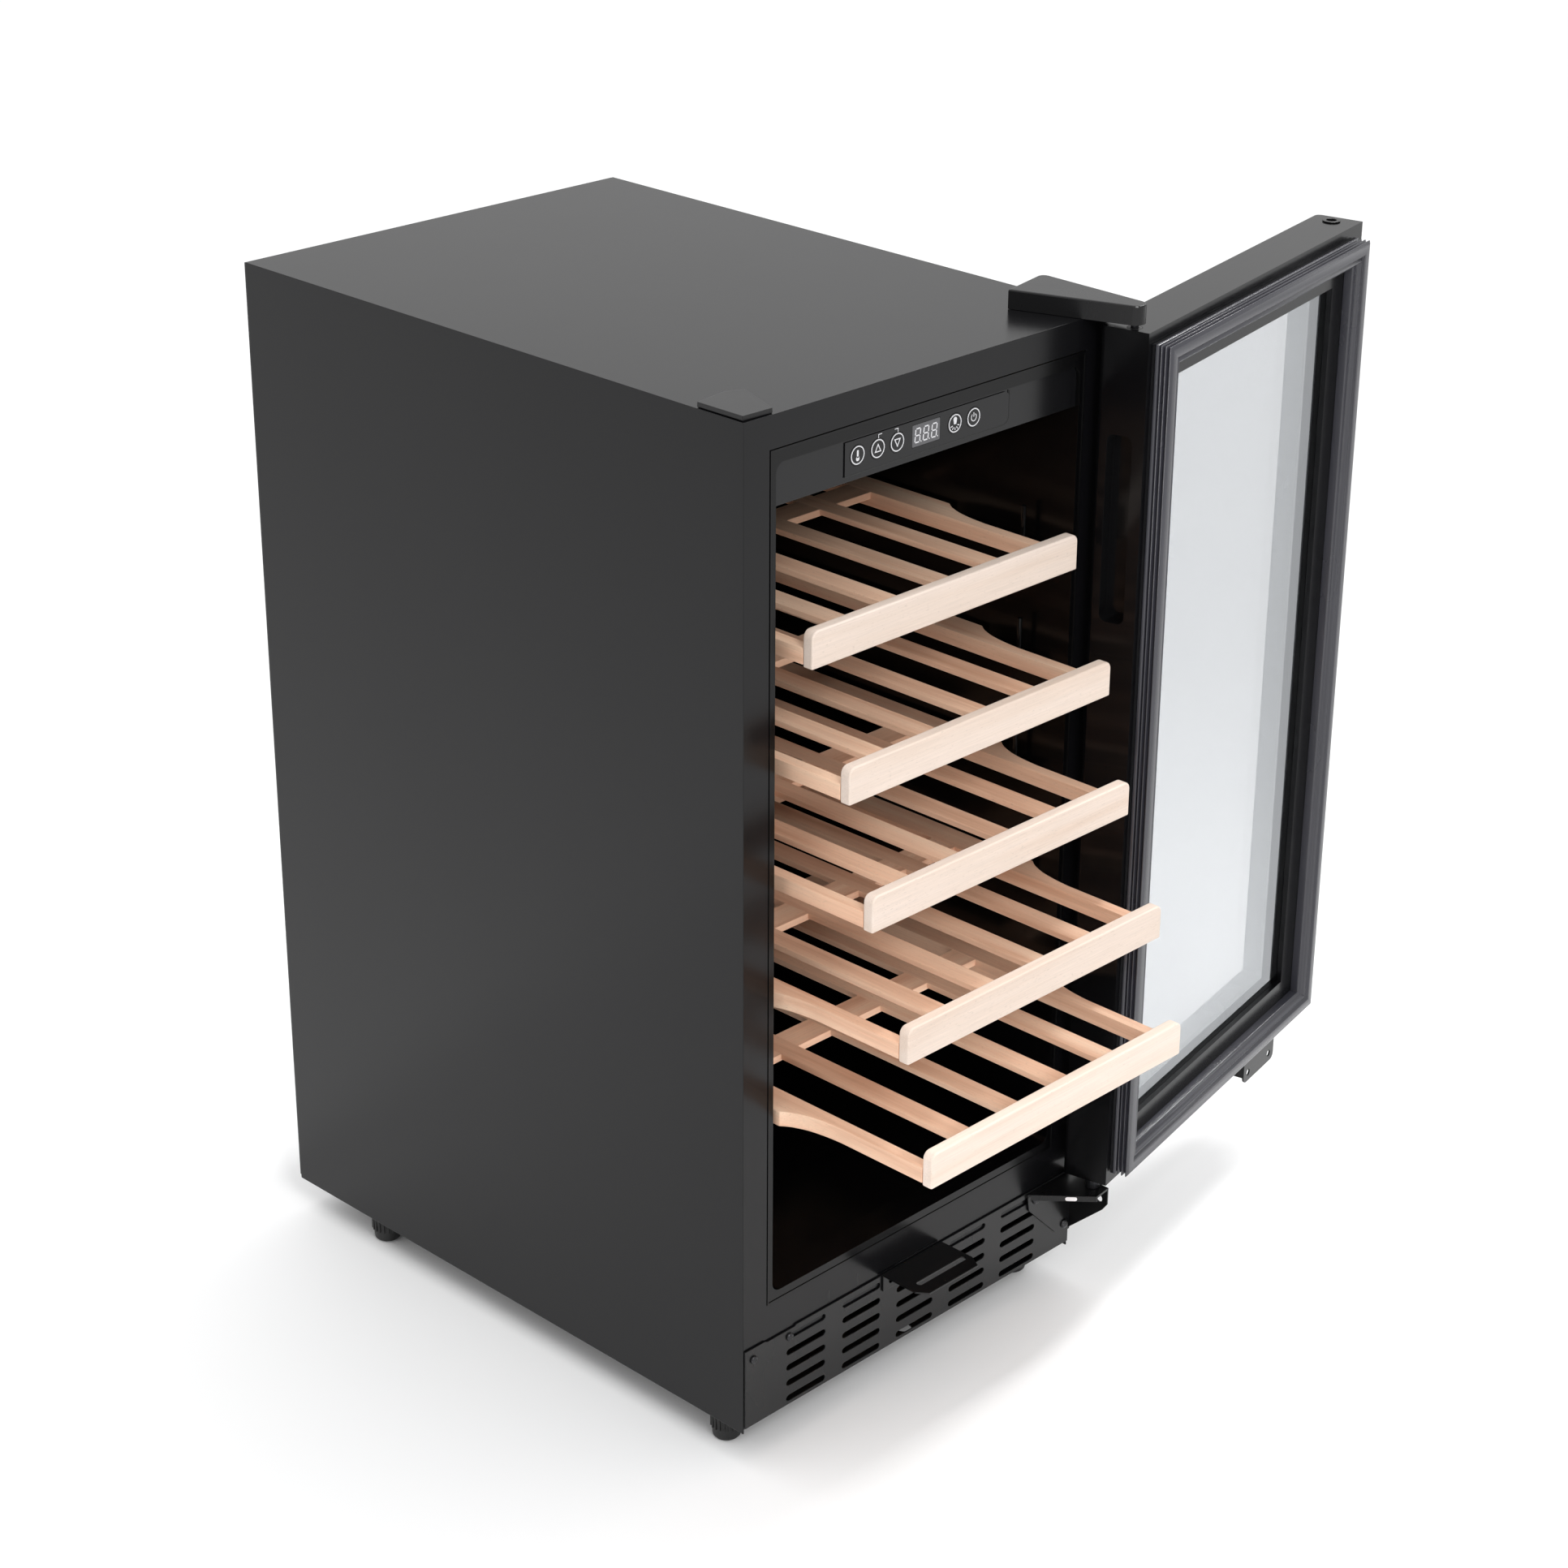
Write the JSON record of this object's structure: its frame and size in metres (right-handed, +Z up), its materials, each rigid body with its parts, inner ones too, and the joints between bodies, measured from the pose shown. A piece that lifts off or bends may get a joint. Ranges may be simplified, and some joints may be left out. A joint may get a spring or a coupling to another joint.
{
  "type": "wine cooler",
  "caption": "Freestanding wine cooler with a wide-open framed glass door, sliding beech racks, a touch control strip and a slotted kick grille.",
  "frame": {"origin": "centre of the whole part's bounding box in plan, at the underside of the feet, with the door open and the racks out as stored", "axes": "+Z up, -Y the way the cabinet's front faces, +X towards the hinge side (the viewer's right from the front)"},
  "size_m": [0.7394, 0.6824, 0.8509],
  "materials": {
    "sheet_steel": "powder-coated dark grey sheet, fine orange peel, satin",
    "liner_plastic": "vacuum-formed black liner, glossy",
    "foam": "rigid foam, matte",
    "fascia_plastic": "moulded black, semi-gloss",
    "panel_film": "polished black film",
    "display_tile": "smoked grey window",
    "board": "green circuit board",
    "lamp": "white diffuser",
    "black_plastic": "moulded black, satin",
    "door_enamel": "black door frame, high gloss",
    "dark_steel": "black painted steel, satin",
    "zinc": "zinc plated",
    "rubber": "soft black rubber, satin",
    "copper": "bare refrigeration tube",
    "spacer_black": "black anodised, satin",
    "glass": "clear float glass with a faint grey tint",
    "nylon": "natural nylon",
    "compressor_enamel": "black enamel, glossy",
    "beech_rack": "plain beech, sanded, satin",
    "beech_front": "pale beech, sanded, satin"
  },
  "bodies": {
    "cabinet": {"cabinet_wrap": "sheet_steel", "back_panel": "sheet_steel", "machine_cover": "sheet_steel", "base_pan": "sheet_steel", "inner_liner": "liner_plastic", "foam_insulation": "foam", "control_fascia": "fascia_plastic", "control_panel": "panel_film", "display_window": "display_tile", "key_temperature_unit": "panel_film", "key_up": "panel_film", "key_down": "panel_film", "key_light": "panel_film", "key_power": "panel_film", "control_board": "board", "light_bar": "lamp", "fan_cover": "black_plastic", "fan_motor": "dark_steel", "compressor": "compressor_enamel", "drain_tray": "black_plastic", "condenser_coil": "copper", "cord_gland": "rubber", "kick_grille": "black_plastic", "grille_screw_outer": "dark_steel", "grille_screw_inner": "dark_steel", "centre_bracket": "dark_steel", "bottom_hinge_bracket": "dark_steel", "hinge_screw_upper": "dark_steel", "hinge_screw_lower": "dark_steel", "top_hinge_plate": "zinc", "top_hinge_cover": "black_plastic", "top_left_cap": "black_plastic", "foot_front_left": "rubber", "foot_front_right": "rubber", "foot_rear_left": "rubber", "foot_rear_right": "rubber"},
    "hinge_pins": {"bottom_hinge_pin": "zinc", "top_hinge_pin": "zinc"},
    "door": {"door_frame": "door_enamel", "inner_glass": "glass", "glass_spacer": "spacer_black", "outer_glass": "glass", "door_front_trim": "black_plastic", "door_gasket": "rubber", "door_bush_bottom": "nylon", "door_bush_top": "nylon", "reversal_plug": "black_plastic", "door_bottom_bracket": "dark_steel"},
    "circulation_fan": {"circulation_fan": "black_plastic"},
    "shelf_1": {"shelf_1_rack": "beech_rack", "shelf_1_front_bar": "beech_front"},
    "shelf_2": {"shelf_2_rack": "beech_rack", "shelf_2_front_bar": "beech_front"},
    "shelf_3": {"shelf_3_rack": "beech_rack", "shelf_3_front_bar": "beech_front"},
    "shelf_4": {"shelf_4_rack": "beech_rack", "shelf_4_front_bar": "beech_front"},
    "shelf_5": {"shelf_5_rack": "beech_rack", "shelf_5_front_bar": "beech_front"}
  },
  "joints": [
    {"name": "hinge_pins_turn", "type": "hinge", "parent": "cabinet", "child": "hinge_pins", "pos_m": [0.0023, -0.2308, 0.47], "axis": [0, 0, 1], "range_deg": [-96, 0]},
    {"name": "door_swing", "type": "hinge", "parent": "hinge_pins", "child": "door", "pos_m": [0.0023, -0.2308, 0.47], "axis": [0, 0, 1], "range_deg": [-95.85, 0]},
    {"name": "circulation_fan_spin", "type": "hinge", "parent": "cabinet", "child": "circulation_fan", "pos_m": [-0.1797, 0.2507, 0.71], "axis": [0, 1, 0], "continuous": true},
    {"name": "shelf_1_slide", "type": "slide", "parent": "cabinet", "child": "shelf_1", "axis": [0, -1, 0], "range_m": [-0.0362, 0.06]},
    {"name": "shelf_2_slide", "type": "slide", "parent": "cabinet", "child": "shelf_2", "axis": [0, -1, 0], "range_m": [-0.0735, 0.023]},
    {"name": "shelf_3_slide", "type": "slide", "parent": "cabinet", "child": "shelf_3", "axis": [0, -1, 0], "range_m": [-0.0974, 0.001]},
    {"name": "shelf_4_slide", "type": "slide", "parent": "cabinet", "child": "shelf_4", "axis": [0, -1, 0], "range_m": [-0.134, 0.015]},
    {"name": "shelf_5_slide", "type": "slide", "parent": "cabinet", "child": "shelf_5", "axis": [0, -1, 0], "range_m": [-0.1594, 0.015]}
  ]
}
